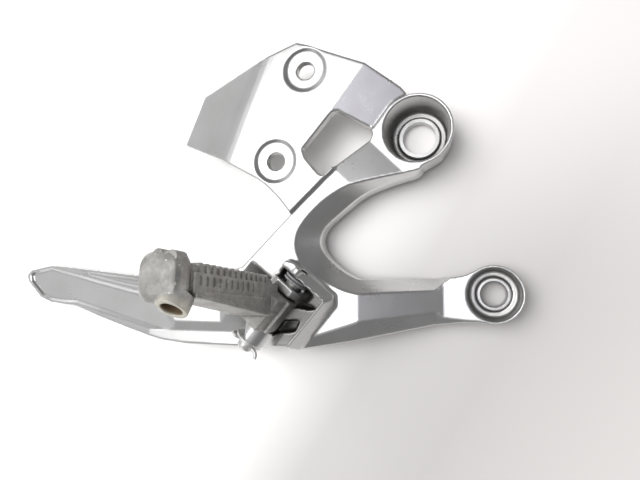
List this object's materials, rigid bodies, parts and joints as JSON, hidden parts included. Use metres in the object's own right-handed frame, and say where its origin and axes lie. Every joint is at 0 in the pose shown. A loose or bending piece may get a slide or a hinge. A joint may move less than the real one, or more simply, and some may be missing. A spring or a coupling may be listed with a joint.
{
  "type": "motorcycle footrest hanger",
  "caption": "Cast aluminium motorcycle footrest hanger: bent plate with bolt holes, deep ring boss, splayed arms, small eye, long blade and a folding serrated footpeg on a pin.",
  "frame": {"origin": "on the axis of the big boss, on the plane of its back rim", "axes": "+Z along the boss bore, out of the front face on the footpeg's side; +X towards the eye; +Y towards the holed plate"},
  "size_m": [0.3058, 0.1658, 0.1215],
  "materials": {
    "coated_casting": "silver coated casting, satin",
    "raw_casting": "uncoated, dull and dirty",
    "collar_steel": "turned",
    "plated_steel": "bright plated",
    "spring_steel": "oiled"
  },
  "bodies": {
    "casting": {"hanger": "coated_casting", "boss_collar": "collar_steel", "eye_collar": "collar_steel", "pivot_pin": "plated_steel", "pin_washer": "plated_steel", "split_pin": "plated_steel", "return_spring": "spring_steel"},
    "peg": {"footpeg": "raw_casting"}
  },
  "joints": [
    {"name": "footpeg_fold", "type": "hinge", "parent": "casting", "child": "peg", "pos_m": [-0.0743, -0.0917, 0.03], "axis": [-0.6428, -0.766, 0], "range_deg": [0, 45], "stiffness_Nm_per_rad": 0.25, "springref_deg": -34.38, "deforming": ["return_spring"]}
  ]
}
